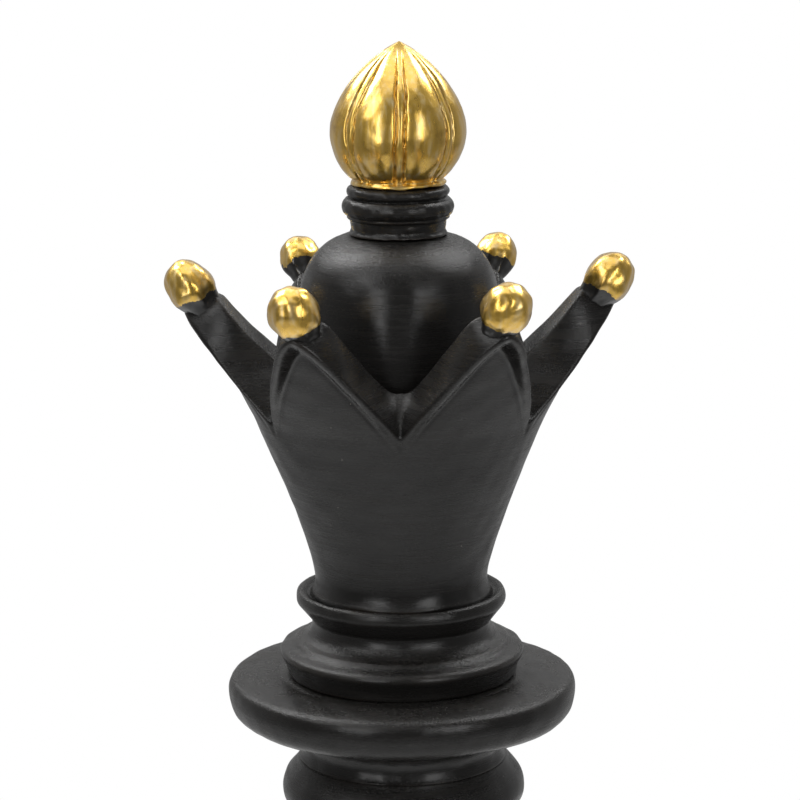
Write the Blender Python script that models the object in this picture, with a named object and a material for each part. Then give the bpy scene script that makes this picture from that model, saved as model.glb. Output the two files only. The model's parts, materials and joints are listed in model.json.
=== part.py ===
"""Giant chess queen: resin castings stacked on a steel tie rod, with a weighted base.

The origin is on the floor under the middle of the foot, +Z is up and -Y is the front.
Outlines are (radius, height) in millimetres, and MM turns them to metres.
"""

import math

import bmesh
import bpy
from mathutils import Matrix, Vector
from mathutils.geometry import interpolate_bezier

MM = 0.001
GAP = 0.3  # between pieces that touch

# Driving dimensions, in millimetres.
TOTAL_HEIGHT = 470.0
BASE_RADIUS = 80.0
DISC_RADIUS = 63.5
DOME_RADIUS = 36.9
BUD_RADIUS = 24.0
PETALS = 8
PETAL_GROOVE_DEPTH = 1.0

FELT_TOP = 2.5
PLATE_TOP = 6.3
BASE_TOP = 64.0
STEM_TOP = 208.3
DISC_TOP = 240.3
COLLAR_TOP = 272.9
CROWN_FLOOR = 282.0
DOME_TOP = 401.2
NECK_TOP = 419.3

# The crown's six points. The front two stand a little closer together.
POINT_AZIMUTHS = (0.0, 60.0, 120.0, 180.0, 242.0, 298.0)
POINT_RADIUS = 75.3  # of the circle through the tips' centres
POINT_HEIGHT = 384.6  # of the tips' centres
POINT_LEAN = 37.0  # degrees from upright
TIP_RADIUS = 9.2
TIP_SEAT = 6.5  # from a tip's centre back to the flat end of its point
HALF_SECTOR = 30.0  # degrees from a valley to a point

# The M8 tie rod and what it clamps.
ROD_RADIUS = 4.0
ROD_HOLE = 4.6
ROD_BOTTOM = 26.0
ROD_TOP = 445.0
NUT_FLATS = 13.0
NUT_HEIGHT = 6.5
WASHER_THICKNESS = 1.6

# The screws that hold the base plate.
SCREW_COUNT = 4
SCREW_CIRCLE = 61.0
SCREW_RADIUS = 2.0
SCREW_HEAD_RADIUS = 4.0
SCREW_TIP = 18.0

SEGMENTS = 32
SMALL_SEGMENTS = 16
FINE_SEGMENTS = 12


def clear_scene():
    for old in list(bpy.data.objects):
        bpy.data.objects.remove(old, do_unlink=True)


def finish(name, colour, roughness, metallic=0.0):
    """A plain Principled material."""
    material = bpy.data.materials.new(name)
    material.use_nodes = True
    shader = material.node_tree.nodes["Principled BSDF"]
    shader.inputs["Base Color"].default_value = (*colour, 1.0)
    shader.inputs["Roughness"].default_value = roughness
    shader.inputs["Metallic"].default_value = metallic
    return material


def arc(centre, radius, start, end, steps):
    """Points on a circle in the outline's plane, from start to end in degrees."""
    angles = [math.radians(start + (end - start) * i / steps) for i in range(steps + 1)]
    return [(centre[0] + radius * math.cos(a), centre[1] + radius * math.sin(a)) for a in angles]


def curve(start, leave, arrive, end, steps):
    """Points on a Bezier curve, its two ends included."""
    knots = [Vector((r, 0, z)) for r, z in (start, leave, arrive, end)]
    return [(p.x, p.z) for p in interpolate_bezier(*knots, steps + 1)]


def solid_object(name, bm, material):
    """An object from a closed bmesh in millimetres, with its faces pointing out."""
    bmesh.ops.remove_doubles(bm, verts=bm.verts, dist=1e-4)
    bmesh.ops.recalc_face_normals(bm, faces=bm.faces)
    bmesh.ops.scale(bm, vec=(MM, MM, MM), verts=bm.verts)
    mesh = bpy.data.meshes.new(name)
    bm.to_mesh(mesh)
    bm.free()
    mesh.shade_smooth()
    mesh.set_sharp_from_angle(angle=math.radians(35))
    mesh.materials.append(material)
    solid = bpy.data.objects.new(name, mesh)
    bpy.context.collection.objects.link(solid)
    return solid


def turned_mesh(outline, segments, closed=True):
    """A bmesh turned about Z from an outline. An open outline starts and ends on the axis."""
    bm = bmesh.new()
    ring = [bm.verts.new((r, 0, z)) for r, z in outline]
    pairs = list(zip(ring, ring[1:]))
    if closed:
        pairs.append((ring[-1], ring[0]))
    edges = [bm.edges.new(pair) for pair in pairs]
    bmesh.ops.spin(
        bm,
        geom=ring + edges,
        cent=(0, 0, 0),
        axis=(0, 0, 1),
        angle=2 * math.pi,
        steps=segments,
        use_merge=True,
    )
    return bm


def turned(name, outline, material, segments=SEGMENTS, closed=True):
    return solid_object(name, turned_mesh(outline, segments, closed), material)


def ring_outline(inner, outer, bottom, top):
    return [(inner, bottom), (outer, bottom), (outer, top), (inner, top)]


def cut(body, cutter):
    """Subtracts the cutter, which stays in the file as a hidden helper."""
    cutter.hide_render = True
    cutter.display_type = "WIRE"
    boolean = body.modifiers.new(cutter.name, "BOOLEAN")
    boolean.operation = "DIFFERENCE"
    boolean.object = cutter


def on_screw_circle(index):
    angle = 2 * math.pi * (index + 0.5) / SCREW_COUNT
    return Vector((math.cos(angle), math.sin(angle), 0)) * SCREW_CIRCLE * MM


# The foot


def make_felt_pad(felt):
    turned("felt_pad", [(0, 0), (75.5, 0), (75.5, FELT_TOP), (0, FELT_TOP)], felt, closed=False)


def make_base_casting(resin):
    """Stepped foot with a cavity for the ballast below and a socket for the stem above."""
    plinth = arc((60.5, 14.5), BASE_RADIUS - 60.5, -36, 34, 4)
    step = arc((60.0, 37.5), 8.6, -58, 54, 4)
    bead = arc((50.5, 55.8), 7.6, -62, 70, 4)
    outline = [
        (ROD_HOLE, 40),
        (40, 40),
        (40, 24),
        (54, 24),
        (54, PLATE_TOP + GAP),
        (68, PLATE_TOP + GAP),
        (68, FELT_TOP + GAP),
        *plinth,
        *step,
        *bead,
        (51, BASE_TOP),
        (40, BASE_TOP),
        (40, 50),
        (ROD_HOLE, 50),
    ]
    base = turned("base_casting", outline, resin)
    for index in range(SCREW_COUNT):
        hole = turned(
            f"pilot_hole_{index + 1}",
            [(0, 5), (SCREW_RADIUS + GAP, 5), (SCREW_RADIUS + GAP, 19), (0, 19)],
            resin,
            FINE_SEGMENTS,
            closed=False,
        )
        hole.location = on_screw_circle(index)
        cut(base, hole)


def make_base_plate(steel):
    """Steel disc that closes the cavity, countersunk for its screws."""
    bottom = FELT_TOP + GAP
    plate = turned("base_plate", [(0, bottom), (67.5, bottom), (67.5, PLATE_TOP), (0, PLATE_TOP)], steel, closed=False)
    sink = [
        (0, 1),
        (SCREW_HEAD_RADIUS + 2 * GAP, 1),
        (SCREW_HEAD_RADIUS + 2 * GAP, 3),
        (SCREW_RADIUS + GAP, 5.4),
        (SCREW_RADIUS + GAP, 8),
        (0, 8),
    ]
    for index in range(SCREW_COUNT):
        hole = turned(f"countersink_{index + 1}", sink, steel, FINE_SEGMENTS, closed=False)
        hole.location = on_screw_circle(index)
        cut(plate, hole)


def make_plate_screws(steel):
    head = [
        (0, FELT_TOP + GAP),
        (SCREW_HEAD_RADIUS, FELT_TOP + GAP),
        (SCREW_RADIUS, 5.2),
        (SCREW_RADIUS, SCREW_TIP - 2),
        (0, SCREW_TIP),
    ]
    for index in range(SCREW_COUNT):
        screw = turned(f"plate_screw_{index + 1}", head, steel, FINE_SEGMENTS, closed=False)
        screw.location = on_screw_circle(index)


def make_ballast_ring(iron):
    turned("ballast_ring", ring_outline(18, 53, 7, 23), iron)


# The tie rod and its fittings


def make_tie_rod(steel):
    turned(
        "tie_rod",
        [(0, ROD_BOTTOM), (ROD_RADIUS, ROD_BOTTOM), (ROD_RADIUS, ROD_TOP), (0, ROD_TOP)],
        steel,
        FINE_SEGMENTS,
        closed=False,
    )


def make_washer(name, top, outer, steel):
    turned(name, ring_outline(ROD_RADIUS + GAP, outer, top - WASHER_THICKNESS, top), steel, SMALL_SEGMENTS)


def make_nut(name, bottom, steel):
    """Hexagon nut, spun in six steps and bored for the rod."""
    corner = NUT_FLATS / math.sqrt(3)
    nut = turned(
        name,
        [(0, bottom), (corner, bottom), (corner, bottom + NUT_HEIGHT), (0, bottom + NUT_HEIGHT)],
        steel,
        6,
        closed=False,
    )
    bore = turned(
        f"{name}_bore",
        [
            (0, bottom - 1),
            (ROD_RADIUS + GAP, bottom - 1),
            (ROD_RADIUS + GAP, bottom + NUT_HEIGHT + 1),
            (0, bottom + NUT_HEIGHT + 1),
        ],
        steel,
        FINE_SEGMENTS,
        closed=False,
    )
    cut(nut, bore)


def make_rod_fittings(steel, brass):
    """Flat washer, spring washer and nut under the base web, washer and nut under the finial."""
    web_underside = 40 - GAP
    make_washer("lower_washer", web_underside, 12, steel)
    spring_top = web_underside - WASHER_THICKNESS - GAP
    make_washer("lower_spring_washer", spring_top, 7.4, steel)
    make_nut("lower_nut", spring_top - WASHER_THICKNESS - GAP - NUT_HEIGHT, steel)
    upper_washer_top = 424 + GAP + WASHER_THICKNESS
    make_washer("upper_washer", upper_washer_top, 8.6, steel)
    make_nut("upper_nut", upper_washer_top + GAP, steel)
    turned("finial_insert", ring_outline(ROD_RADIUS + GAP, 6.6, 434.4, 447), brass, SMALL_SEGMENTS)


# The turned castings


def make_stem(resin):
    """Trumpet with a fat bead at its head, bored for the rod, and a spigot at each end."""
    bead = arc((34.5, 197.3), 10.0, -96, 88, 7)
    flare = curve((50.5, BASE_TOP + GAP), (33, 84), (25, 122), (26, 160), 8)
    outline = [
        (ROD_HOLE, 50 + 2 * GAP),
        (39.7, 50 + 2 * GAP),
        (39.7, BASE_TOP + GAP),
        *flare,
        (27.5, 177.5),
        (30, 185.3),
        *bead,
        (32, STEM_TOP),
        (24, STEM_TOP),
        (24, 216),
        (ROD_HOLE, 216),
    ]
    turned("stem", outline, resin)


def make_main_disc(resin):
    """The widest collar: a thick round-edged disc on a coved neck."""
    underside = STEM_TOP + GAP
    cove = curve((35, underside + 1.5), (36, 218), (44, 222.6), (54, 223.8), 3)
    rim = curve((59.5, 224.3), (63.2, 226.0), (DISC_RADIUS + 1.0, 234.0), (61.8, 238.0), 4)
    outline = [
        (ROD_HOLE, 216 + GAP),
        (24 + GAP, 216 + GAP),
        (24 + GAP, underside),
        (34, underside),
        *cove,
        *rim,
        (59.0, 239.3),
        (43, DISC_TOP),
        (20, DISC_TOP),
        (20, 247),
        (ROD_HOLE, 247),
    ]
    turned("main_disc", outline, resin)


def make_double_collar(resin):
    """Two rings with a cove between them, under the cup."""
    underside = DISC_TOP + GAP
    lower_ring = curve((41.2, underside), (43.0, 244.2), (46.8, 249.4), (42.8, 251.0), 4)
    cove = curve((38.6, 253.2), (33.8, 253.8), (31.2, 258.2), (33.2, 261.2), 4)
    upper_ring = curve((37.6, 267.1), (38.6, 269.0), (38.8, 271.6), (36.8, COLLAR_TOP), 3)
    outline = [
        (20 + GAP, underside),
        *lower_ring,
        *cove,
        *upper_ring,
        (24 + GAP, COLLAR_TOP),
        (24 + GAP, 263),
        (ROD_HOLE, 263),
        (ROD_HOLE, 247 + GAP),
        (20 + GAP, 247 + GAP),
    ]
    turned("double_collar", outline, resin)


def make_dome(resin):
    """Hollow egg that stands on the crown's floor and fills the crown."""
    foot = CROWN_FLOOR + GAP
    side = curve((22.5, foot), (30, 300), (DOME_RADIUS, 335), (DOME_RADIUS, 365), 4)
    shoulder = curve((DOME_RADIUS, 365), (DOME_RADIUS, 389), (31, 397.5), (18.2, DOME_TOP), 6)
    inside = curve((12, 393), (29, 391), (32.4, 378), (32.4, 360), 3)
    outline = [
        *side,
        *shoulder[1:],
        (12, DOME_TOP),
        (12, 405.5),
        (ROD_HOLE, 405.5),
        (ROD_HOLE, 393),
        *inside,
        (25, 310),
        (18, foot),
    ]
    turned("dome", outline, resin)


def make_neck_collar(resin):
    """Band and two beads under the finial."""
    band_bottom = DOME_TOP + GAP
    big_bead = arc((16.4, 411.1), 3.6, -62, 66, 4)
    small_bead = arc((16.6, 416.8), 2.0, -50, 66, 3)
    outline = [
        (12 + GAP, band_bottom),
        (18.4, band_bottom),
        (17.6, 403.2),
        (17.5, 407.4),
        *big_bead,
        *small_bead,
        (16.2, NECK_TOP),
        (9, NECK_TOP),
        (9, 424),
        (ROD_HOLE, 424),
        (ROD_HOLE, 405.5 + GAP),
        (12 + GAP, 405.5 + GAP),
    ]
    turned("neck_collar", outline, resin, 24)


def make_finial_bud(gold):
    """Pointed bud with a groove between each two petals, socketed for the nut and insert."""
    seat = NECK_TOP + GAP
    lower = curve((15.4, seat), (20.5, 423.5), (BUD_RADIUS, 429.5), (BUD_RADIUS, 437.5), 5)
    upper = curve((BUD_RADIUS, 437.5), (BUD_RADIUS, 450), (12.4, 464.4), (0, TOTAL_HEIGHT), 7)
    outline = [(0, 447.5), (6.9, 447.5), (6.9, 434), (9.4, 434), (9.4, seat), *lower, *upper[1:]]
    segments = 4 * PETALS
    bm = turned_mesh(outline, segments, closed=False)
    for vert in bm.verts:
        radius = math.hypot(vert.co.x, vert.co.y)
        turn = math.degrees(math.atan2(vert.co.y, vert.co.x)) % (360 / PETALS)
        if radius > 12 and min(turn, 360 / PETALS - turn) < 1:
            vert.co.xy *= 1 - PETAL_GROOVE_DEPTH / radius
    solid_object("finial_bud", bm, gold)


# The crown: a flared cup whose rim falls into a valley between each two points.
# Each rim outline runs from a valley to the middle of a point, as (share of the way, height).

POINT_END_HEIGHT = 375.3  # lower, outer edge of a point's flat end
POINT_END_TOP = 383.5  # upper, inner edge of a point's flat end
VALLEY_HEIGHT = 337.0
VALLEY_RADIUS = 52.6
RIM_INNER_HEIGHT = 351.5
RIM_INNER_RADIUS = 40.0
CUP_BOTTOM_RADIUS = 31.0
OUTER_RIM = (
    (0.0, VALLEY_HEIGHT),
    (0.30, 350.0),
    (0.56, 360.0),
    (0.74, 366.5),
    (0.83, 371.0),
    (0.87, POINT_END_HEIGHT),
    (1.0, POINT_END_HEIGHT),
)
INNER_RIM = (
    (0.0, RIM_INNER_HEIGHT),
    (0.25, 354.3),
    (0.48, 360.0),
    (0.69, 367.0),
    (0.80, 376.0),
    (0.85, POINT_END_TOP),
    (1.0, POINT_END_TOP),
)
OUTER_ROWS = (0.0, 0.15, 0.35, 0.632, 0.82, 0.93, 1.0)
INNER_ROWS = (1.0, 0.84, 0.68, 0.35, 0.0)
PANEL_RECESS = 2.2  # how far the panel under a point lies behind its ridges


def seat_point(across):
    """(radius, height) on a point's flat end, across millimetres towards its outer side."""
    lean = math.radians(POINT_LEAN)
    radius = POINT_RADIUS - TIP_SEAT * math.sin(lean) + across * math.cos(lean)
    height = POINT_HEIGHT - TIP_SEAT * math.cos(lean) - across * math.sin(lean)
    return radius, height


def line_radius(height, low, high):
    return low[0] + (high[0] - low[0]) * (height - low[1]) / (high[1] - low[1])


def on_curve(height, points):
    """Radius at a height on a rising outline."""
    for low, high in zip(points, points[1:]):
        if height <= high[1]:
            return line_radius(height, low, high)
    return points[-1][0]


CUP_BOTTOM = COLLAR_TOP + GAP
CUP_SIDE = curve((CUP_BOTTOM_RADIUS, CUP_BOTTOM), (31, 284), (41.9, 311), (VALLEY_RADIUS, VALLEY_HEIGHT), 12)
CUP_INSIDE = curve((25.5, CROWN_FLOOR), (31, 300), (38, 322), (RIM_INNER_RADIUS, RIM_INNER_HEIGHT), 8)


def outer_radius(height):
    """Radius of the cup's outside, and above the valleys of the points' outer ridges."""
    if height <= VALLEY_HEIGHT:
        return on_curve(height, CUP_SIDE)
    return line_radius(height, (VALLEY_RADIUS, VALLEY_HEIGHT), seat_point(6.9))


def inner_radius(height):
    """Radius of the cup's inside, and above the rim of the points' inner faces."""
    if height <= RIM_INNER_HEIGHT:
        return on_curve(height, CUP_INSIDE)
    return line_radius(height, (RIM_INNER_RADIUS, RIM_INNER_HEIGHT), seat_point(-6.9))


def crown_section(column):
    """One section of the crown's wall as (share of the way to the point, radius, height)."""
    foot_share = column / (len(OUTER_RIM) - 1)
    outer_share, outer_height = OUTER_RIM[column]
    inner_share, inner_height = INNER_RIM[column]
    section = [(foot_share, r, z) for r, z in ((ROD_HOLE, 263 + GAP), (24, 263 + GAP), (24, CUP_BOTTOM))]
    for row in OUTER_ROWS:
        height = CUP_BOTTOM + (outer_height - CUP_BOTTOM) * row
        radius = outer_radius(height)
        if row in OUTER_ROWS[-3:-1] and outer_height > VALLEY_HEIGHT:
            radius -= PANEL_RECESS
        section.append((foot_share + (outer_share - foot_share) * row, radius, height))
    for row in INNER_ROWS:
        height = CROWN_FLOOR + (inner_height - CROWN_FLOOR) * row
        section.append((foot_share + (inner_share - foot_share) * row, inner_radius(height), height))
    section.append((foot_share, ROD_HOLE, CROWN_FLOOR))
    return section


def crown_columns():
    """Every column round the crown: (azimuth of the point, signed half sector, column)."""
    last = len(OUTER_RIM) - 1
    for index, azimuth in enumerate(POINT_AZIMUTHS):
        before = (azimuth - POINT_AZIMUTHS[index - 1]) % 360 / 2
        after = (POINT_AZIMUTHS[(index + 1) % len(POINT_AZIMUTHS)] - azimuth) % 360 / 2
        for column in range(1, last):
            yield azimuth, -before, column
        for column in range(last, -1, -1):
            yield azimuth, after, column


def make_crown(resin):
    """Cup, rim and points in one casting, built section by section round the axis."""
    bm = bmesh.new()
    rings = []
    for azimuth, half_sector, column in crown_columns():
        ring = []
        for share, radius, height in crown_section(column):
            offset = math.radians(half_sector * (1 - share))
            flat_end = share > 0.8 and height > POINT_END_HEIGHT - 1
            reach = radius / math.cos(offset) if flat_end else radius
            angle = math.radians(azimuth) + offset
            ring.append(bm.verts.new((reach * math.cos(angle), reach * math.sin(angle), height)))
        rings.append(ring)
    for ring, following in zip(rings, rings[1:] + rings[:1]):
        for a, b, c, d in zip(ring, ring[1:] + ring[:1], following[1:] + following[:1], following):
            bm.faces.new((a, b, c, d))
    solid_object("crown", bm, resin)


def make_gilded_tips(gold):
    """Acorn-shaped ends of the points, each standing on its point's flat end."""
    flat = GAP - TIP_SEAT
    lower = arc((0, -0.5), TIP_RADIUS, math.degrees(math.asin((flat + 0.5) / TIP_RADIUS)), 10, 3)
    upper = curve(lower[-1], (8.6, 5.6), (4.6, 9.6), (0, 9.7), 3)
    outline = [(0, flat), *lower, *upper[1:]]
    for index, azimuth in enumerate(POINT_AZIMUTHS):
        tip = turned(f"gilded_tip_{index + 1}", outline, gold, FINE_SEGMENTS, closed=False)
        turn = Matrix.Rotation(math.radians(azimuth), 4, "Z")
        lean = Matrix.Rotation(math.radians(POINT_LEAN), 4, "Y")
        place = Matrix.Translation(Vector((POINT_RADIUS, 0, POINT_HEIGHT)) * MM)
        tip.matrix_world = turn @ place @ lean


def main():
    clear_scene()
    resin = finish("satin_black_resin", (0.012, 0.012, 0.013), 0.42)
    gold = finish("gold_leaf", (0.78, 0.52, 0.13), 0.25, 1.0)
    steel = finish("zinc_steel", (0.56, 0.57, 0.58), 0.35, 1.0)
    brass = finish("brass", (0.72, 0.55, 0.25), 0.3, 1.0)
    iron = finish("cast_iron", (0.08, 0.08, 0.085), 0.7, 1.0)
    felt = finish("black_felt", (0.02, 0.02, 0.02), 0.95)
    make_felt_pad(felt)
    make_base_plate(steel)
    make_plate_screws(steel)
    make_ballast_ring(iron)
    make_base_casting(resin)
    make_tie_rod(steel)
    make_rod_fittings(steel, brass)
    make_stem(resin)
    make_main_disc(resin)
    make_double_collar(resin)
    make_crown(resin)
    make_dome(resin)
    make_neck_collar(resin)
    make_finial_bud(gold)
    make_gilded_tips(gold)


main()
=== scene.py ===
"""Giant chess queen: the surfaces, gilding, paint and studio built round its packed castings.

It is laid out as a Blender add-on and run as a script. Shapes are worked out in millimetres, with
+Z up and -Y to the front, and MM turns them to metres when a mesh is written.
"""

import json
import math

import bpy
import numpy as np
from bpy.props import FloatProperty, FloatVectorProperty, IntProperty, PointerProperty
from mathutils import Euler, Matrix, Vector


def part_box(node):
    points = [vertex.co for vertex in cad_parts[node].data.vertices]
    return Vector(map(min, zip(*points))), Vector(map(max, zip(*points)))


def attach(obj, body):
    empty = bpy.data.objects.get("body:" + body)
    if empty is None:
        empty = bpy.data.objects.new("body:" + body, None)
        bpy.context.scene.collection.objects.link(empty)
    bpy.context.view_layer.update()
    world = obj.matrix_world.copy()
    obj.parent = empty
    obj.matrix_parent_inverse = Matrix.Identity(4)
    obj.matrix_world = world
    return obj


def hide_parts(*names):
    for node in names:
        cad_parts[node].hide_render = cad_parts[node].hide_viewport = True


bl_info = {
    "name": "Giant Chess Queen",
    "version": (1, 0, 0),
    "blender": (4, 5, 0),
    "location": "View3D > Sidebar > Chess Queen",
    "description": "Builds the castings, gilding and studio of a giant chess queen",
    "category": "Add Mesh",
}

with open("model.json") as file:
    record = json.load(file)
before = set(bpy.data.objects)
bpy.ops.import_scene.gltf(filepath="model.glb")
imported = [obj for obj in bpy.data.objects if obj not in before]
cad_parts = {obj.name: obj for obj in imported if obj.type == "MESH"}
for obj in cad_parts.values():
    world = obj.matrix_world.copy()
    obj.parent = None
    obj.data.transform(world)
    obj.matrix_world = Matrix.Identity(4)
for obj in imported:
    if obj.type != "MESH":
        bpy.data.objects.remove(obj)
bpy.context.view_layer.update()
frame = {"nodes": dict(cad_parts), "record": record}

MM = 0.001
GAP = 0.3  # between pieces that touch
BORE = 4.6  # radius of the hole for the tie rod, in every casting


def linear(hex_colour):
    """Linear red, green and blue of an sRGB hex colour."""
    channels = [int(hex_colour[i : i + 2], 16) / 255 for i in (0, 2, 4)]
    return tuple(c / 12.92 if c <= 0.04045 else ((c + 0.055) / 1.055) ** 2.4 for c in channels)


def top(node):
    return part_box(node)[1].z / MM


def bottom(node):
    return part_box(node)[0].z / MM


def reach(node):
    """Largest X of a node, which for a turned one is its radius."""
    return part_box(node)[1].x / MM


# Settings

COLOUR = {"subtype": "COLOR", "size": 3, "min": 0, "max": 1}


class ResinSettings(bpy.types.PropertyGroup):
    colour: FloatVectorProperty(
        name="Paint colour", description="Satin black paint over the castings", default=linear("171615"),
        **COLOUR,
    )
    rubbed_colour: FloatVectorProperty(
        name="Rubbed colour", description="Warmer tone where the paint is rubbed thin on edges",
        default=linear("2F2923"), **COLOUR,
    )
    sway: FloatProperty(
        name="Sway", description="How far a casting's surface wanders from true, over a hand's width",
        unit="LENGTH", default=0.00026,
    )
    ripple: FloatProperty(
        name="Ripple", description="How far it wanders over a finger's width", unit="LENGTH",
        default=0.00007,
    )


class GildingSettings(bpy.types.PropertyGroup):
    colour: FloatVectorProperty(
        name="Leaf colour", description="Gold leaf where it lies smooth", default=linear("E7BC55"),
        **COLOUR,
    )
    # Painted shade: this browner, darker leaf is laid in the grooves and creases, where shade falls, and in
    # random blotches.
    shade_and_blotch_colour: FloatVectorProperty(
        name="Crease colour", description="Leaf over the brown size that shows in its creases",
        default=linear("8C6416"), **COLOUR,
    )
    crease_depth: FloatProperty(
        name="Crease depth", description="Depth of the two grooves beside each rib of the bud",
        unit="LENGTH", default=0.0009,
    )
    rib_half_width: FloatProperty(
        name="Rib half width", description="From the middle of a rib to its groove, at the bud's widest",
        unit="LENGTH", default=0.0017,
    )


class CrownSettings(bpy.types.PropertyGroup):
    border_width: FloatProperty(
        name="Border width", description="Width of the raised border round the panel under each point",
        unit="LENGTH", default=0.0026,
    )
    groove_depth: FloatProperty(
        name="Groove depth", description="Depth of the groove inside that border", unit="LENGTH",
        default=0.0009,
    )
    columns: IntProperty(
        name="Columns", description="Sections of the wall from a valley to the middle of a point",
        default=38, min=8,
    )


class StudioSettings(bpy.types.PropertyGroup):
    strip_power: FloatProperty(
        name="Strip light power", description="Power of each upright strip light", subtype="POWER",
        default=4.3,
    )
    canopy_power: FloatProperty(
        name="Canopy power", description="Power that each light overhead takes its own share of",
        subtype="POWER", default=5.7,
    )
    camera_distance: FloatProperty(
        name="Camera distance", description="From the camera to the middle of its view", unit="LENGTH",
        default=1.08,
    )
    camera_pitch: FloatProperty(
        name="Camera pitch", description="How far the camera looks down", unit="ROTATION",
        default=math.radians(11.6),
    )


class QueenSettings(bpy.types.PropertyGroup):
    resin: PointerProperty(type=ResinSettings, name="Resin", description="The black castings")
    gilding: PointerProperty(type=GildingSettings, name="Gilding", description="The gold leaf")
    crown: PointerProperty(type=CrownSettings, name="Crown", description="The crown's border")
    studio: PointerProperty(type=StudioSettings, name="Studio", description="Lights and camera")


# Outlines and surfaces


def arc(centre, radius, start, end, steps=24):
    """Points at a fixed radius from a centre while the angle runs evenly from start to end, in degrees."""
    angle = np.radians(np.linspace(start, end, steps + 1))
    return np.stack([centre[0] + radius * np.cos(angle), centre[1] + radius * np.sin(angle)], 1)


def curve(start, leave, arrive, end, steps=24):
    """Cubic Bezier: four points weighted by (1-t)^3, 3t(1-t)^2, 3t^2(1-t) and t^3, for t from 0 to 1."""
    t = np.linspace(0, 1, steps + 1)[:, None]
    weights = (1 - t) ** 3, 3 * t * (1 - t) ** 2, 3 * t**2 * (1 - t), t**3
    return sum(w * np.array(p, float) for w, p in zip(weights, (start, leave, arrive, end)))


def path(*parts):
    """One outline from single points and runs of points."""
    return np.concatenate([np.atleast_2d(np.asarray(p, float)) for p in parts])


def bell_mean(values, sigma, wrap=False):
    """Running mean along the first axis under a bell curve of that many samples. Open ends are carried
    on by turning the run about its end point, so the ends stay where they are."""
    half = max(1, int(3 * sigma))
    offsets = np.arange(-half, half + 1)
    weights = np.exp(-0.5 * (offsets / sigma) ** 2)
    weights /= weights.sum()
    if wrap:
        return sum(w * np.roll(values, -o, axis=0) for w, o in zip(weights, offsets))
    before = 2 * values[0] - values[half:0:-1]
    after = 2 * values[-1] - values[-2 : -half - 2 : -1]
    padded = np.concatenate([before, values, after])
    return sum(w * padded[half + o : half + o + len(values)] for w, o in zip(weights, offsets))


def worn(outline, step=0.6, radius=0.8):
    """An outline walked at equal steps and averaged over its neighbours, which rounds its corners."""
    along = np.concatenate([[0], np.cumsum(np.linalg.norm(np.diff(outline, axis=0), axis=1))])
    even = np.linspace(0, along[-1], int(along[-1] / step) + 2)
    walked = np.stack([np.interp(even, along, outline[:, i]) for i in range(2)], 1)
    return bell_mean(walked, radius / step)


def smoothstep(low, high, value):
    """0 below low, 1 above high, and 3t^2 - 2t^3 between them."""
    t = np.clip((value - low) / (high - low), 0, 1)
    return t * t * (3 - 2 * t)


def ripples(points, wavelength, seed, waves=20):
    """Smooth noise near -1..1: the sum of cosine waves of about one length, in scattered directions."""
    rng = np.random.default_rng(seed)
    directions = rng.normal(size=(waves, 3))
    directions /= np.linalg.norm(directions, axis=1)[:, None]
    numbers = 2 * np.pi / (wavelength * rng.uniform(0.75, 1.4, waves))
    phases = rng.uniform(0, 2 * np.pi, waves)
    return np.cos(points @ (directions * numbers[:, None]).T + phases).sum(-1) / math.sqrt(waves)


def surface_normals(points):
    """Unit normal at each point of a grid closed both ways: the cross product of its two slopes."""
    around = np.roll(points, -1, 0) - np.roll(points, 1, 0)
    along = np.roll(points, -1, 1) - np.roll(points, 1, 1)
    normals = np.cross(around, along)
    return normals / np.maximum(np.linalg.norm(normals, axis=2), 1e-9)[..., None]


def hand_made(points, weight, seed, settings):
    """The grid moved along its normals by long and short ripples, where the weight allows."""
    long_ripples = settings.sway / MM * ripples(points, 46, seed)
    short_ripples = settings.ripple / MM * ripples(points, 9, seed + 1)
    return points + surface_normals(points) * ((long_ripples + short_ripples) * weight)[..., None]


def turned_grid(outline, segments):
    """Every point of the outline turned about Z: (r cos a, r sin a, z)."""
    angle = np.linspace(0, 2 * np.pi, segments, endpoint=False)[:, None]
    radius, height = outline[None, :, 0], outline[None, :, 1]
    flat = radius * np.cos(angle), radius * np.sin(angle), height + 0 * angle
    return np.stack(flat, 2)


def grid_faces(around, along, close_along=True):
    """Corner numbers of the four-sided faces of a grid that is closed around."""
    i = np.arange(around)[:, None]
    j = np.arange(along if close_along else along - 1)[None, :]
    i_next, j_next = (i + 1) % around, (j + 1) % along
    corners = i * along + j, i_next * along + j, i_next * along + j_next, i * along + j_next
    return np.stack(np.broadcast_arrays(*corners), 2).reshape(-1, 4)


def signed_volume(points, faces):
    a, b, c, d = (points[faces[:, k]] for k in range(4))
    return (np.cross(b - a, c - a) * a).sum() + (np.cross(c - a, d - a) * a).sum()


def closed_ends(points, first, last):
    """Points and faces of a turned grid, with each of its ends drawn together in one point."""
    segments, rows = points.shape[:2]
    flat = np.concatenate([points.reshape(-1, 3), [first, last]])
    start = np.arange(segments) * rows
    following = np.roll(start, -1)
    low, high = np.full((2, segments), segments * rows) + [[0], [1]]
    near = np.stack([start, low, low, following], 1)
    far = np.stack([start + rows - 1, following + rows - 1, high, high], 1)
    return flat, np.concatenate([grid_faces(segments, rows, close_along=False), near, far])


def new_mesh(name, points, faces, material):
    """A mesh in metres from points in millimetres. A face that names a corner twice is a triangle."""
    mesh = bpy.data.meshes.new(name)
    mesh.from_pydata((points * MM).tolist(), [], [list(dict.fromkeys(f)) for f in faces.tolist()])
    mesh.materials.append(material)
    return mesh


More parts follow.
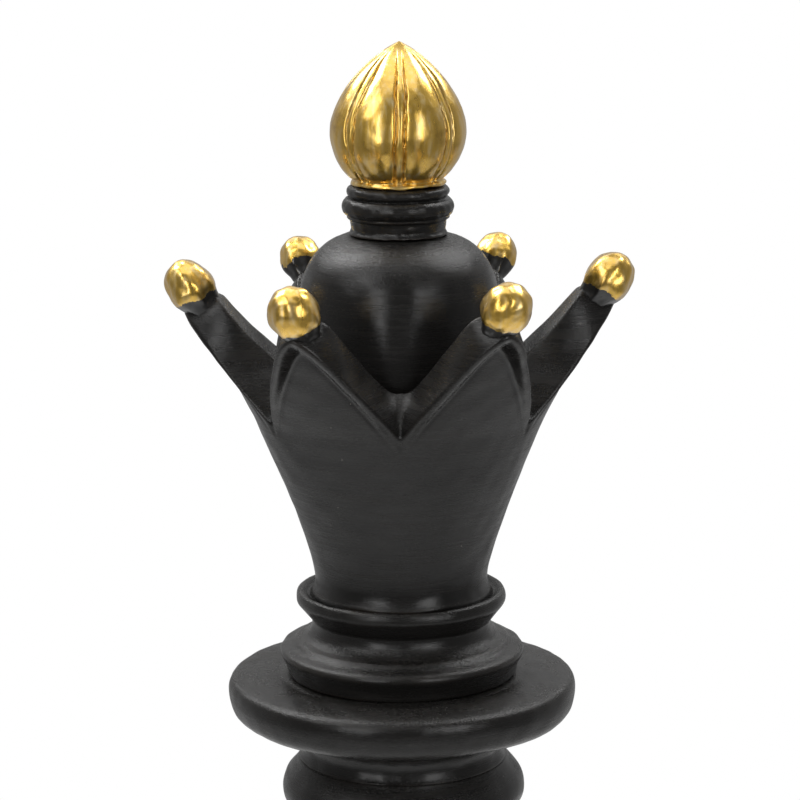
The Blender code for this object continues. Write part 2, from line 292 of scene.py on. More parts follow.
def make_piece(name, points, faces, material, nodes, attributes=()):
    """A smooth mesh object with its faces outwards, riding on the one body."""
    if signed_volume(points, faces) < 0:
        faces = faces[:, ::-1]
    mesh = new_mesh(name, points, faces, material)
    mesh.shade_smooth()
    for attribute, values in attributes:
        layer = mesh.attributes.new(attribute, "FLOAT", "POINT")
        layer.data.foreach_set("value", values.astype(np.float32))
    if mesh.validate():
        raise RuntimeError(f"{name} has faces that are not valid")
    made = bpy.data.objects.new(name, mesh)
    bpy.context.scene.collection.objects.link(made)
    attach(made, "root")
    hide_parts(*nodes)


def make_turned(name, outlines, seed, replaced, segments=256, rough=None):
    """A casting turned from its outer outline, which hand work shows on, and its hidden inner one."""
    settings = bpy.context.scene.chess_queen.resin
    outer, inner = outlines
    outline = path(outer, inner)
    shown = np.concatenate([np.ones(len(outer)), np.zeros(len(np.atleast_2d(inner)))])
    shown = bell_mean(shown, 2.0, wrap=True) * shown
    points = turned_grid(outline, segments)
    points = hand_made(points, shown[None, :], seed, settings)
    if rough is not None:
        amount, wavelength, where = rough
        push = amount * where(points) * ripples(points, wavelength, seed + 7) * shown[None, :]
        points = points + surface_normals(points) * push[..., None]
    faces = grid_faces(segments, len(outline))
    make_piece(name, points.reshape(-1, 3), faces, black_paint(), [replaced])


# Materials

# Lighter grit, laid thicker on what faces up, where it is also a painted sheen of the light from above.
GRIT_AND_TOP_SHEEN = linear("3A3835")
DUST = linear("8C877F")
# Pale leaf of the rubbed streaks, made pale to stand in as a painted highlight too.
PALE_LEAF_AND_HIGHLIGHT = linear("EEE2BC")


def fill(made, inputs):
    """Sets a node's inputs, each by name or number: to a value, or linked from an output socket, or from
    the first output of a node."""
    for name, value in inputs.items():
        if isinstance(value, bpy.types.Node):
            value = value.outputs[0]
        if isinstance(value, bpy.types.NodeSocket):
            made.id_data.links.new(value, made.inputs[name])
        else:
            made.inputs[name].default_value = value


def node(tree, kind, inputs=None, **settings):
    """Adds a shader node with its settings and links."""
    made = tree.nodes.new(f"ShaderNode{kind}")
    for name, value in settings.items():
        setattr(made, name, value)
    fill(made, inputs or {})
    return made


def new_material(name, **shader):
    """A material with its Principled shader, and the tree to add nodes to."""
    material = bpy.data.materials.new(name)
    material.use_nodes = True
    principled = material.node_tree.nodes["Principled BSDF"]
    fill(principled, {socket.replace("_", " "): value for socket, value in shader.items()})
    return material, material.node_tree, principled


def per_mm(size):
    """Texture scale, in metres, of a pattern whose features are that many millimetres apart."""
    return 1000 / size


def rgba(colour):
    return (*colour, 1.0)


def satin_black_paint():
    """Filled casting resin with brushed satin black paint. The eye sees fine level brush lines, a gloss
    where paint has pooled in the coves, a warmer rubbed tone on edges, lighter grit that is laid thicker on
    what faces up, where it is also a painted sheen of the light from above, and a few specks of dust.
    Brush lines and grit are finer on the real thing: here they are about 1 mm, to show."""
    settings = bpy.context.scene.chess_queen.resin
    material, tree, shader = new_material("satin_black_paint_on_resin", IOR=1.43)
    place = node(tree, "TexCoord").outputs["Object"]
    point = node(tree, "NewGeometry").outputs["Pointiness"]
    level = node(tree, "Mapping", {"Vector": place, "Scale": (0.05, 0.05, 1)})
    strokes = node(
        tree, "TexNoise", {"Vector": level, "Scale": per_mm(1.6), "Detail": 5.0, "Roughness": 0.7}
    )
    clouds = node(tree, "TexNoise", {"Vector": place, "Scale": per_mm(26), "Detail": 3.0})
    grain = node(tree, "TexNoise", {"Vector": place, "Scale": per_mm(1.1), "Detail": 4.0, "Roughness": 0.8})
    dust = node(tree, "TexVoronoi", {"Vector": place, "Scale": per_mm(5.5)})
    speck = node(tree, "MapRange", {"Value": dust, "From Min": 0.05, "From Max": 0.03, "To Max": 0.6})
    some = node(tree, "MapRange", {"Value": dust.outputs["Color"], "From Min": 0.55, "From Max": 0.6})
    dusty = node(tree, "Math", {0: speck, 1: some}, operation="MULTIPLY")
    rubbed = node(tree, "MapRange", {"Value": point, "From Min": 0.505, "From Max": 0.56, "To Max": 0.8})
    patchy = node(tree, "MapRange", {"Value": clouds, "From Min": 0.42, "From Max": 0.66})
    worn_edge = node(tree, "Math", {0: rubbed, 1: patchy}, operation="MULTIPLY")
    thin = node(tree, "MapRange", {"Value": strokes, "From Min": 0.52, "From Max": 0.74, "To Max": 0.22})
    wear = node(tree, "Math", {0: worn_edge, 1: thin}, operation="MAXIMUM")
    toned = node(tree, "Mix", {
        "Factor": wear, 6: rgba(settings.colour), 7: rgba(settings.rubbed_colour),
    }, data_type="RGBA")
    facing = node(tree, "SeparateXYZ", {0: node(tree, "TexCoord").outputs["Normal"]})
    upward = node(tree, "MapRange", {"Value": facing.outputs["Z"], "From Min": 0.35, "From Max": 0.9})
    sand = node(tree, "MapRange", {
        "Value": grain, "From Min": 0.42, "From Max": 0.66, "To Min": -0.15, "To Max": 0.75,
    })
    # Painted sheen: the lighter grit is weighted towards what faces up, where the light from above falls.
    grit_and_sheen_share = node(tree, "MapRange", {"Value": upward, "To Min": 0.12, "To Max": 1.0})
    coarse = node(tree, "MapRange", {"Value": upward, "To Min": 0.3, "To Max": 1.0})
    grit_and_top_sheen = node(tree, "Math", {0: sand, 1: grit_and_sheen_share}, operation="MULTIPLY", use_clamp=True)
    gritted_and_sheened = node(tree, "Mix", {"Factor": grit_and_top_sheen, 6: toned.outputs[2], 7: rgba(GRIT_AND_TOP_SHEEN)}, data_type="RGBA")
    dusted = node(tree, "Mix", {"Factor": dusty, 6: gritted_and_sheened.outputs[2], 7: rgba(DUST)}, data_type="RGBA")
    pooled = node(tree, "MapRange", {
        "Value": point, "From Min": 0.46, "From Max": 0.50, "To Min": 0.13, "To Max": 0.24,
    })
    uneven = node(tree, "MapRange", {
        "Value": clouds, "From Min": 0.3, "From Max": 0.7, "To Min": -0.04, "To Max": 0.06,
    })
    dry = node(tree, "MapRange", {
        "Value": strokes, "From Min": 0.4, "From Max": 0.68, "To Min": -0.03, "To Max": 0.1,
    })
    patches = node(tree, "Math", {0: uneven, 1: dry}, operation="ADD")
    gloss = node(tree, "Math", {0: pooled, 1: patches}, operation="ADD")
    brushed = node(tree, "Bump", {"Height": strokes, "Strength": 0.4, "Distance": 0.00014})
    grained = node(
        tree, "Bump", {"Height": grain, "Normal": brushed, "Strength": coarse, "Distance": 0.0003}
    )
    fill(shader, {"Base Color": dusted.outputs[2], "Roughness": gloss, "Normal": grained})
    return material


def gold_leaf(name, torn=False):
    """Loose gold leaf laid over size on resin, polished with a burnisher, then varnished. The eye sees a
    rich yellow metal with fine creases and pinholes, paler in rubbed streaks, whose pale tone also stands
    in as a painted highlight, and browner and darker in the grooves and creases, where the colour is
    painted shade, and in random blotches. A torn leaf stops at the edge that its attribute gives, and the
    black paint shows past it."""
    queen = bpy.context.scene.chess_queen
    material, tree, shader = new_material(name, Coat_Weight=0.8, Coat_Roughness=0.13)
    place = node(tree, "TexCoord").outputs["Object"]
    point = node(tree, "NewGeometry").outputs["Pointiness"]
    mottle = node(
        tree, "TexNoise", {"Vector": place, "Scale": per_mm(6.5), "Detail": 5.0, "Roughness": 0.6}
    )
    upright = node(tree, "Mapping", {"Vector": place, "Scale": (1, 1, 0.1)})
    rubs = node(
        tree, "TexNoise", {"Vector": upright, "Scale": per_mm(2.2), "Detail": 3.0, "Roughness": 0.55}
    )
    wrinkle = node(tree, "TexNoise", {
        "Vector": place, "Scale": per_mm(1.9), "Detail": 4.0, "Distortion": 0.8,
    }, noise_type="RIDGED_MULTIFRACTAL")
    pits = node(tree, "TexVoronoi", {"Vector": place, "Scale": per_mm(1.1)})
    # Painted shade: concave places, the grooves and creases, take the darker leaf colour where shade falls;
    # random blotches take it too.
    painted_groove_shade = node(tree, "MapRange", {"Value": point, "From Min": 0.485, "From Max": 0.40, "To Max": 0.85})
    blotch = node(tree, "MapRange", {"Value": mottle, "From Min": 0.5, "From Max": 0.72, "To Max": 0.45})
    shade_and_blotch = node(tree, "Math", {0: painted_groove_shade, 1: blotch}, operation="MAXIMUM")
    # Rubbed streaks of paler leaf, whose pale tone is also a painted highlight.
    bright = node(tree, "MapRange", {"Value": rubs, "From Min": 0.48, "From Max": 0.73, "To Max": 0.5})
    burnished_and_highlight = node(tree, "Mix", {
        "Factor": bright, 6: rgba(queen.gilding.colour), 7: rgba(PALE_LEAF_AND_HIGHLIGHT),
    }, data_type="RGBA")
    leaf = node(tree, "Mix", {
        "Factor": shade_and_blotch, 6: burnished_and_highlight.outputs[2], 7: rgba(queen.gilding.shade_and_blotch_colour),
    }, data_type="RGBA")
    gloss = node(
        tree, "MapRange", {"Value": rubs, "From Min": 0.3, "From Max": 0.7, "To Min": 0.26, "To Max": 0.38}
    )
    rubbed = node(tree, "Bump", {"Height": rubs, "Strength": 0.35, "Distance": 0.0002})
    waved = node(tree, "Bump", {"Height": mottle, "Normal": rubbed, "Strength": 0.16, "Distance": 0.0004})
    creased = node(
        tree, "Bump", {"Height": wrinkle, "Normal": waved, "Strength": 0.14, "Distance": 0.00015}
    )
    pitted = node(tree, "Bump", {"Height": pits, "Normal": creased, "Strength": 0.12, "Distance": 0.0001})
    if not torn:
        fill(shader, {"Metallic": 1.0, "Base Color": leaf.outputs[2], "Roughness": gloss, "Normal": pitted})
        return material
    edge = node(tree, "Attribute", attribute_name="leaf_edge").outputs["Fac"]
    ragged = node(tree, "TexNoise", {
        "Vector": place, "Scale": per_mm(2.4), "Detail": 6.0, "Roughness": 0.7, "Distortion": 0.6,
    })
    tear = node(tree, "Math", {0: ragged, 1: 3.2, 2: edge}, operation="MULTIPLY_ADD")
    # The attribute counts millimetres above the leaf's mean edge, and the noise moves it by about 1 mm.
    held = node(tree, "MapRange", {"Value": tear, "From Min": 1.55, "From Max": 1.65})
    colour = node(
        tree, "Mix", {"Factor": held, 6: rgba(queen.resin.colour), 7: leaf.outputs[2]}, data_type="RGBA"
    )
    roughness = node(tree, "Mix", {"Factor": held, 2: 0.38, 3: gloss}, data_type="FLOAT")
    raised = node(tree, "Bump", {"Height": held, "Normal": pitted, "Strength": 0.8, "Distance": 0.0001})
    looks = {"Metallic": held, "Base Color": colour.outputs[2], "Roughness": roughness, "Normal": raised}
    fill(shader, looks)
    return material


def shared(name, make, *arguments, **options):
    """The material of that name, made on its first use."""
    return bpy.data.materials.get(name) or make(*arguments, **options)


def black_paint():
    return shared("satin_black_paint_on_resin", satin_black_paint)


# The castings


def foot_outlines():
    """Foot: a round plinth, a stepped ring and a bead, over the cavity for the ballast."""
    base, radius, height = bottom("base_casting"), reach("base_casting") - 0.3, top("base_casting")
    outer = path(
        (68, 0),
        (75.6, 0),
        arc((radius - 19.5, 11.7), 19.5, -37, 36),
        (74.2, 24.4),
        curve((73.4, 25.0), (70, 25.6), (68, 25.4), (66.6, 26.8)),
        arc((60.0, 34.7), 8.7, -50, 58),
        (62.6, 42.6),
        curve((61.6, 43.1), (58.5, 43.6), (57, 44.2), (55.6, 46.2)),
        arc((50.6, 53.0), 7.6, -46, 72),
        (51.6, height - base),
        (40, height - base),
    ) + (0, base)
    inner = path((40, 50), (BORE, 50), (BORE, 40), (40, 40), (40, 24), (54, 24), (54, 6.6), (68, 6.6))
    return worn(outer), inner


def stem_outlines():
    """Stem: a trumpet that flares to the foot, with a fat bead at its head."""
    seat = top("base_casting") + GAP
    head = bottom("main_disc") - 0.06
    outer = path(
        (39.7, seat),
        (49.8, seat),
        curve((50.5, seat + 0.8), (35, 82), (25.6, 120), (25.8, 158), 60),
        curve((25.8, 160), (26, 171), (27.4, 177.5), (30.2, 182.7)),
        curve((30.6, 183.5), (31.4, 186.3), (33, 187.1), (34.4, 187.2), 8),
        arc((34.8, 197.2), 9.8, -86, 18),
        curve((43.9, 200.9), (42.9, 203.4), (40.0, 205.8), (38.2, head), 14),
    )
    inner = path((24, head), (24, 216), (BORE, 216), (BORE, 50.6), (39.7, 50.6))
    return worn(outer), inner


def disc_outlines():
    """Main disc: a deep cove under a thick plate with a bowed rim, and a dished top that ends in a lip."""
    base, radius, seat = bottom("main_disc"), reach("main_disc") - 0.1, bottom("double_collar") - GAP
    outer = path(
        curve((38.1, 0), (35.2, 3.6), (36.0, 9.4), (43.5, 13.2)),
        (53.0, 15.2),
        curve((54.0, 15.3), (61.0, 15.6), (62.3, 18.6), (63.0, 22.2)),
        curve((63.1, 22.6), (radius + 0.9, 26.3), (radius + 0.6, 29.7), (61.3, 30.7)),
        curve((60.9, 30.9), (57.5, 31.6), (51, 31.8), (45.6, 31.5)),
        curve((45.2, 31.4), (43.6, 31.4), (43.0, seat - base + 0.2), (42.2, seat - base)),
        (20, seat - base),
    ) + (0, base)
    inner = path((20, 247), (BORE, 247), (BORE, 216.3), (24.3, 216.3), (24.3, base))
    return worn(outer, 0.5, 0.5), inner


def collar_outlines():
    """Double collar: a lower ring with two ledges, a cove, and a thin upper ring the cup sinks into."""
    base, height = bottom("double_collar"), top("double_collar")
    outer = path(
        (20.3, 0),
        (41.6, 0),
        curve((41.9, 0.3), (42.2, 3.2), (43.2, 5.0), (44.2, 6.8)),
        curve((44.5, 7.3), (45.0, 8.6), (44.3, 9.8), (42.9, 10.2)),
        curve((42.4, 10.4), (40.8, 10.8), (39.7, 11.3), (39.0, 12.3)),
        curve((38.6, 12.8), (36.2, 13.2), (34.3, 14.4), (33.2, 16.4)),
        curve((33.1, 16.7), (32.5, 18), (32.4, 19.4), (32.8, 20.6)),
        (33.3, 20.9),
        (37.6, 26.0),
        curve((37.8, 26.3), (38.5, 27.4), (38.5, 29.6), (37.4, 30.9)),
        curve((37.1, 31.1), (36.0, 31.4), (34.9, 30.5), (34.2, 29.8)),
        (31.4, 29.4),
        (31.4, height - base - 3.0),
        (24.3, height - base - 3.0),
    ) + (0, base)
    inner = path((24.3, 263), (BORE, 263), (BORE, 247.3), (20.3, 247.3))
    return worn(outer, 0.5, 0.5), inner


def dome_outlines():
    """Dome: an egg that stands on the crown's floor, hollow inside."""
    foot, radius, height = bottom("dome"), reach("dome"), top("neck_collar") - 22.8
    outer = path(
        (18, foot),
        (22.2, foot),
        curve((22.5, foot + 0.6), (30, 300), (radius, 335), (radius, 363), 40),
        curve((radius, 364), (radius, 389), (31, 397.4), (19.4, height - 0.2), 40),
        (18.2, height),
        (12, height),
    )
    collar = path((12, 405.5), (BORE, 405.5), (BORE, 393), (12, 393))
    inner = path(collar, (26, 388), (32, 372), (32, 350), (25, 310))
    return worn(outer), inner


def neck_outlines():
    """Neck: a band that narrows downwards, a lip, a fat bead, a groove and a small bead."""
    base = bottom("neck_collar")
    outer = path(
        (12.3, 0),
        (17.4, 0),
        curve((17.6, 0.4), (17.5, 1.0), (17.0, 1.3), (16.7, 2.0), 8),
        (17.2, 5.6),
        curve((17.9, 5.8), (18.4, 6.0), (18.4, 6.4), (18.0, 6.9), 8),
        arc((16.6, 10.1), 3.5, -58, 56),
        (17.1, 13.2),
        arc((16.4, 15.5), 2.0, -56, 80),
        (15.9, 17.6),
        (9, 17.6),
    ) + (0, base)
    inner = path((9, 424), (BORE, 424), (BORE, 405.8), (12.3, 405.8))
    return worn(outer, 0.35, 0.3), inner


class QUEEN_OT_foot(bpy.types.Operator):
    """Builds the stepped foot casting"""

    bl_idname = "chess_queen.foot"
    bl_label = "Foot"

    def execute(self, context):
        make_turned("foot_casting", foot_outlines(), 11, "base_casting")
        return {"FINISHED"}


class QUEEN_OT_stem(bpy.types.Operator):
    """Builds the stem with its head bead"""

    bl_idname = "chess_queen.stem"
    bl_label = "Stem"

    def execute(self, context):
        make_turned("stem_casting", stem_outlines(), 21, "stem")
        return {"FINISHED"}


class QUEEN_OT_collars(bpy.types.Operator):
    """Builds the main disc and the double collar above it"""

    bl_idname = "chess_queen.collars"
    bl_label = "Disc and collar"

    def execute(self, context):
        make_turned("disc_casting", disc_outlines(), 31, "main_disc", segments=288)
        make_turned("collar_casting", collar_outlines(), 41, "double_collar")
        return {"FINISHED"}


class QUEEN_OT_dome_and_neck(bpy.types.Operator):
    """Builds the dome inside the crown and the beaded neck on it"""

    bl_idname = "chess_queen.dome_and_neck"
    bl_label = "Dome and neck"

    def execute(self, context):
        seam = top("dome") - 5.5

        def filler(points):
            """Where the joint to the neck was filled by hand: within a few millimetres of its seam."""
            return smoothstep(seam - 5, seam - 1, points[..., 2])

        make_turned("dome_casting", dome_outlines(), 51, "dome", rough=(0.05, 1.9, filler))
        everywhere = 0.1, 4.2, lambda points: 1.0
        make_turned("neck_casting", neck_outlines(), 61, "neck_collar", rough=everywhere)
        return {"FINISHED"}


# The crown

POINT_NODES = [f"gilded_tip_{i}" for i in range(1, 7)]
POINT_LEAN = math.radians(37)
VALLEY_HEIGHT = 337.0
VALLEY_RADIUS = 52.6
CUP_BOTTOM_RADIUS = 31.0
CUP_FLOOR = 282.0
FACET_SHARE = 0.08  # half width of the flat that cuts each valley's edge, at its inner side
# Which way each point was pushed while the wax was soft: outwards and upwards, at its tip.
POINT_BIASES = ((0.1, 0.9), (-1.8, -0.3), (-0.5, -1.2), (-0.3, -1.2), (0.7, 0.35), (1.7, 1.6))
# The leaf's mean edge on each tip: its level, and its rise outwards and sideways, across 8 mm.
LEAF_EDGES = ((-5.1, 1.2, 0), (-3.6, 0, 0), (-3.8, 0, 0.8), (-4.7, 1.6, 0), (-4.6, 0, 1.4), (-4.6, 0, -1.3))
POINT_SIZES = (1.01, 0.89, 0.88, 1.03, 1.0, 0.99)
TIP_SEGMENTS = 96
TIP_RADIUS = 9  # about the middle of its egg


def point_azimuths():
    """Direction of each point in degrees, from the middle of its tip's box."""
    middles = [(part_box(n)[0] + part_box(n)[1]) / 2 for n in POINT_NODES]
    return [math.degrees(math.atan2(m.y, m.x)) % 360 for m in middles]


def through(knots, value):
    """Smooth curve through knots of (position, value): straight runs blended by a short bell mean."""
    knots = np.array(knots, float)
    fine = np.linspace(knots[0, 0], knots[-1, 0], 400)
    run = bell_mean(np.interp(fine, knots[:, 0], knots[:, 1]), 12)
    return np.interp(value, fine, run)


def outer_edge_height(share):
    """Height of the crown's outer edge, as it climbs from a valley to the middle of a point."""
    knots = ((0, VALLEY_HEIGHT), (0.35, 351.0), (0.60, 361.0), (0.80, 370.2), (0.92, 374.2), (1, 375.3))
    return through(knots, share)


def inner_edge_height(share):
    """Height of its inner edge: a short level run in the valley, then up the side of a point."""
    knots = (
        (0, 352.8), (0.15, 353.0), (0.25, 354.5), (0.44, 359.8), (0.60, 368.8), (0.69, 375.2),
        (0.80, 380.8), (1, 381.6),
    )
    return through(knots, share)


def edge_radius(height):
    """Radius of the outer edge: the cup's slope in the valleys, then the lean of a point."""
    knots = (
        (330, 49.6), (VALLEY_HEIGHT, VALLEY_RADIUS), (343, 56.1), (351, 61.1), (357, 64.8), (363.2, 68.7),
        (371.9, 74.8), (376, 77.9),
    )
    return through(knots, height)


def seat_height():
    """Where the cup's foot rests, sunk inside the lip of the collar's upper ring."""
    return top("double_collar") - 2.6


def cup_radius(height):
    """Radius of the cup's outside: a Bezier that flares to the valleys, and goes on as the panels."""
    foot = top("double_collar") + GAP
    side = curve((CUP_BOTTOM_RADIUS, foot), (31, 284), (41.6, 311), (VALLEY_RADIUS, VALLEY_HEIGHT), 60)
    panel = curve((52.7, 337.2), (58.8, 348.5), (64.8, 360.5), (72.5, 376), 20)
    whole = path(side, panel)
    fillet = 2.4 * np.exp(-((height - seat_height()) / 1.8).clip(0))
    return np.interp(height, whole[:, 1], whole[:, 0]) + fillet


def hollow_radius(height):
    """Radius of the cup's inside, then of the points' inner faces."""
    knots = (
        (CUP_FLOOR, 25.5), (300, 31.5), (325, 36.6), (351.5, 40.0), (360.3, 47.0), (366.1, 53.0),
        (371.9, 58.2), (377.7, 62.4), (384, 66.9),
    )
    return through(knots, height)


def border_relief(share, height, half_sector, wall, settings):
    """How far the outside lies behind the wall at the crown's edge. It is nothing on the border, which
    crowns a little, then falls to the panel, with a groove where the two meet."""
    ridge_share = np.linspace(0, 1, 240)
    ridge = outer_edge_height(ridge_share)
    mean_radius = 66.0
    across = np.radians(half_sector) * mean_radius
    slope = 1.22  # slant length for each millimetre of height
    offset_x = (share[..., None] - ridge_share) * across
    offset_z = (height[..., None] - ridge) * slope
    distance = np.sqrt(offset_x**2 + offset_z**2).min(-1)
    width = settings.border_width / MM
    down = smoothstep(width, width + 2.0, distance)
    drop = (wall - cup_radius(height)).clip(0)
    notch = 0.8 * np.exp(-((share * across[..., 0] / 1.3) ** 2)) * smoothstep(331.5, 335.5, height)
    opening = smoothstep(0.02, 0.4, share)
    groove = np.exp(-(((distance - width - 1.7) / 1.0) ** 2)) * settings.groove_depth / MM * opening
    crown_up = 0.35 * np.clip(1 - ((distance - width / 2) / (width / 2)) ** 2, 0, 1) * opening
    fall = np.exp(-np.clip(distance - 9, 0, None) / 9)
    low = smoothstep(VALLEY_HEIGHT - 9, VALLEY_HEIGHT + 5, height)
    return drop * down + (groove * fall - crown_up) * low + notch * (1 - down)


def sector_columns(settings):
    """Every column round the crown: (point number, signed half sector in degrees, share)."""
    azimuths = point_azimuths()
    even = np.linspace(0, 1, settings.columns + 1)
    share = 1 - (1 - even) ** 1.15
    columns = []
    for number, azimuth in enumerate(azimuths):
        before = (azimuth - azimuths[number - 1]) % 360 / 2
        after = (azimuths[(number + 1) % len(azimuths)] - azimuth) % 360 / 2
        columns += [(number, -before, s) for s in share[:-1]]
        columns += [(number, after, s) for s in share[:0:-1]]
    return np.array(columns), np.array(azimuths)


def crown_grid(settings):
    """Sections of the wall set round the axis: up the outside, across the edge and down the inside.
    A point at share s of the way from a valley to a point stands at its azimuth less (1 - s) of the
    half sector. The section is then averaged along and around, which rounds its edges."""
    columns, azimuths = sector_columns(settings)
    number, half_sector, share = columns[:, 0].astype(int), columns[:, 1:2], columns[:, 2:3]
    foot = seat_height()
    rise = np.linspace(0, 1, 92)[None, :] ** 0.9
    outer_height = foot + (outer_edge_height(share) - foot) * rise
    wall = np.maximum(edge_radius(outer_height), cup_radius(outer_height))
    wall = np.where(outer_height < VALLEY_HEIGHT, cup_radius(outer_height), wall)
    spread = np.abs(half_sector)[..., None]
    relief = border_relief(share + 0 * rise, outer_height, spread, wall, settings)
    outer = wall - relief, outer_height
    across = np.linspace(0, 1, 26)[None, 1:-1]
    # In a valley the edge is cut flat, over a facet that widens inwards.
    facet = np.maximum(share, FACET_SHARE * across)
    low, high = outer_edge_height(facet), inner_edge_height(facet)
    low_radius = np.maximum(edge_radius(low), VALLEY_RADIUS)
    band = low_radius + (hollow_radius(high) - low_radius) * across, low + (high - low) * across
    belly = 0.5 * np.sin(np.pi * across) * smoothstep(0.4, 0.7, share)
    fall = np.linspace(1, 0, 64)[None, :] ** 1.1
    rim = inner_edge_height(np.maximum(share, FACET_SHARE))
    inner_height = CUP_FLOOR + (rim - CUP_FLOOR) * fall
    inner = hollow_radius(inner_height), inner_height
    radius = np.concatenate([outer[0], band[0], inner[0]], 1)
    height = np.concatenate([outer[1], band[1], inner[1]], 1)
    bulge = np.concatenate([0 * outer[0], belly, 0 * inner[0]], 1)
    sign = np.sign(half_sector)
    angle = np.radians(azimuths[number][:, None] + half_sector * (1 - share)) + sign * bulge / radius
    lift = smoothstep(346, 377, height)
    biases = np.array(POINT_BIASES)[number]
    radius = radius + biases[:, :1] * lift
    points = np.stack([radius * np.cos(angle), radius * np.sin(angle), height + biases[:, 1:] * lift], 2)
    points = bell_mean(points, 0.9, wrap=True)
    shown = points.shape[1]
    points = np.swapaxes(bell_mean(np.swapaxes(points, 0, 1), 1.15), 0, 1)
    hidden = path((BORE, CUP_FLOOR), (BORE, 263.3), (24, 263.3), (24, foot), (30, foot))
    angle = angle[:, :1]
    hidden_radius, hidden_height = hidden[:, 0], hidden[:, 1] + 0 * angle
    core = np.stack([hidden_radius * np.cos(angle), hidden_radius * np.sin(angle), hidden_height], 2)
    return np.concatenate([points, core], 1), shown


class QUEEN_OT_crown(bpy.types.Operator):
    """Builds the flared cup and its points as one casting"""

    bl_idname = "chess_queen.crown"
    bl_label = "Crown"

    def execute(self, context):
        queen = context.scene.chess_queen
        points, shown = crown_grid(queen.crown)
        weight = np.zeros(points.shape[1])
        weight[2 : shown - 2] = 1
        points = hand_made(points, weight[None, :], 71, queen.resin)
        faces = grid_faces(*points.shape[:2])
        make_piece("crown_casting", points.reshape(-1, 3), faces, black_paint(), ["crown"])
        return {"FINISHED"}


class QUEEN_OT_tips(bpy.types.Operator):
    """Builds the gilded acorn at the end of each point"""

    bl_idname = "chess_queen.tips"
    bl_label = "Gilded tips"

    def execute(self, context):
        material = shared("torn_gold_leaf", gold_leaf, "torn_gold_leaf", torn=True)
        outline = path(
            curve((0, 9.4), (4.6, 9.4), (7.2, 6.4), (8.2, 1.6), 20),
            curve((8.3, 1.2), (8.8, -1.2), (8.7, -2.8), (8.0, -4.4), 20),
            curve((7.9, -4.8), (7.1, -6.4), (6.5, -8.0), (6.2, -9.6), 10),
            curve((6.1, -10), (5.4, -11.2), (4.4, -11.6), (2.4, -11.6), 6),
            (0, -11.6),
        )
        outline = worn(outline, 0.4, 0.5)
        outline[[0, -1], 0] = 0
        for number, azimuth in enumerate(point_azimuths()):
            self.make_tip(number, math.radians(azimuth), outline, material)
        return {"FINISHED"}

    def make_tip(self, number, azimuth, outline, material):
        """An egg turned about the point's own axis, flattened a little towards the dome and lumped by
        ripples and seven faint facets, then leaned outwards and turned to its azimuth."""
        poles = [0, 0, outline[0, 1]], [0, 0, outline[-1, 1]]
        points, faces = closed_ends(turned_grid(outline[1:-1], TIP_SEGMENTS), *poles)
        stretched = points * np.array([0.97, 1.06, 1.0]) * POINT_SIZES[number]
        turn = np.arctan2(points[:, 1], points[:, 0])
        facets = 0.2 * np.cos(7 * turn + 2 * number) * smoothstep(2.5, 7.5, np.hypot(*points[:, :2].T))
        lumps = 0.2 * ripples(points, 9, 81 + number) + 0.06 * ripples(points, 3.2, 181 + number)
        stretched = stretched * (1 + (lumps + facets) / TIP_RADIUS)[:, None]
        level, outward, sideways = LEAF_EDGES[number]
        edge = points[:, 2] - level - (outward * points[:, 0] + sideways * points[:, 1]) / 8
        edge = edge + 0.7 * ripples(points, 9, 281 + number)
        low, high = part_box(POINT_NODES[number])
        middle = (low + high) / 2
        push, lift = POINT_BIASES[number]
        radius = math.hypot(middle.x, middle.y) / MM + push
        turned = Matrix.Rotation(azimuth, 3, "Z") @ Matrix.Rotation(POINT_LEAN, 3, "Y")
        centre = [radius * math.cos(azimuth), radius * math.sin(azimuth), middle.z / MM + lift]
        placed = stretched @ np.array(turned).T + np.array(centre)
        name, nodes = f"leafed_tip_{number + 1}", [POINT_NODES[number]]
        make_piece(name, placed, faces, material, nodes, [("leaf_edge", edge)])


# The bud

BUD_LEAN = 0.022  # sideways for each millimetre above its waist
BUD_WAIST = 443
BUD_RADIUS = 24.6
BUD_HOLE_TOP = 447.5
BUD_SEGMENTS = 480
SEAMS = (-45.5, 2.0, 50.5, 94.5, 138.5, 182.5, 226.5, 270.5)  # degrees from the front


def petal_relief(angle, height, radius, settings):
    """How far the bud lies inside its outline. It is greatest in the two grooves beside each seam's rib,
    and each petal rolls down to them over the last few millimetres."""
    seams = np.radians(np.array(SEAMS) - 90)
    apart = np.abs((angle[..., None] - seams + np.pi) % (2 * np.pi) - np.pi).min(-1)
    arc_length = apart * np.maximum(radius, 1e-6)
    narrow = 0.55 + 0.45 * smoothstep(2, 20, radius)
    around = np.stack([radius * np.cos(angle), radius * np.sin(angle), height + 0 * angle], 2)
    rib = settings.rib_half_width / MM * narrow * (1 + 0.16 * ripples(around, 13, 95))
    depth = settings.crease_depth / MM * smoothstep(2.5, 15, radius) * (1 + 0.3 * ripples(around, 4, 96))
    groove = depth * np.exp(-(((arc_length - rib) / (0.46 * narrow)) ** 2))
    shoulder = np.clip((arc_length - rib) / 6.5, 0, 1)
    roll = 1.05 * (1 - shoulder) ** 2.3 * smoothstep(3, 16, radius)
    crest = 0.5 * np.clip(1 - (arc_length / rib) ** 2, 0, 1) * smoothstep(3, 16, radius)
    return groove + roll - crest


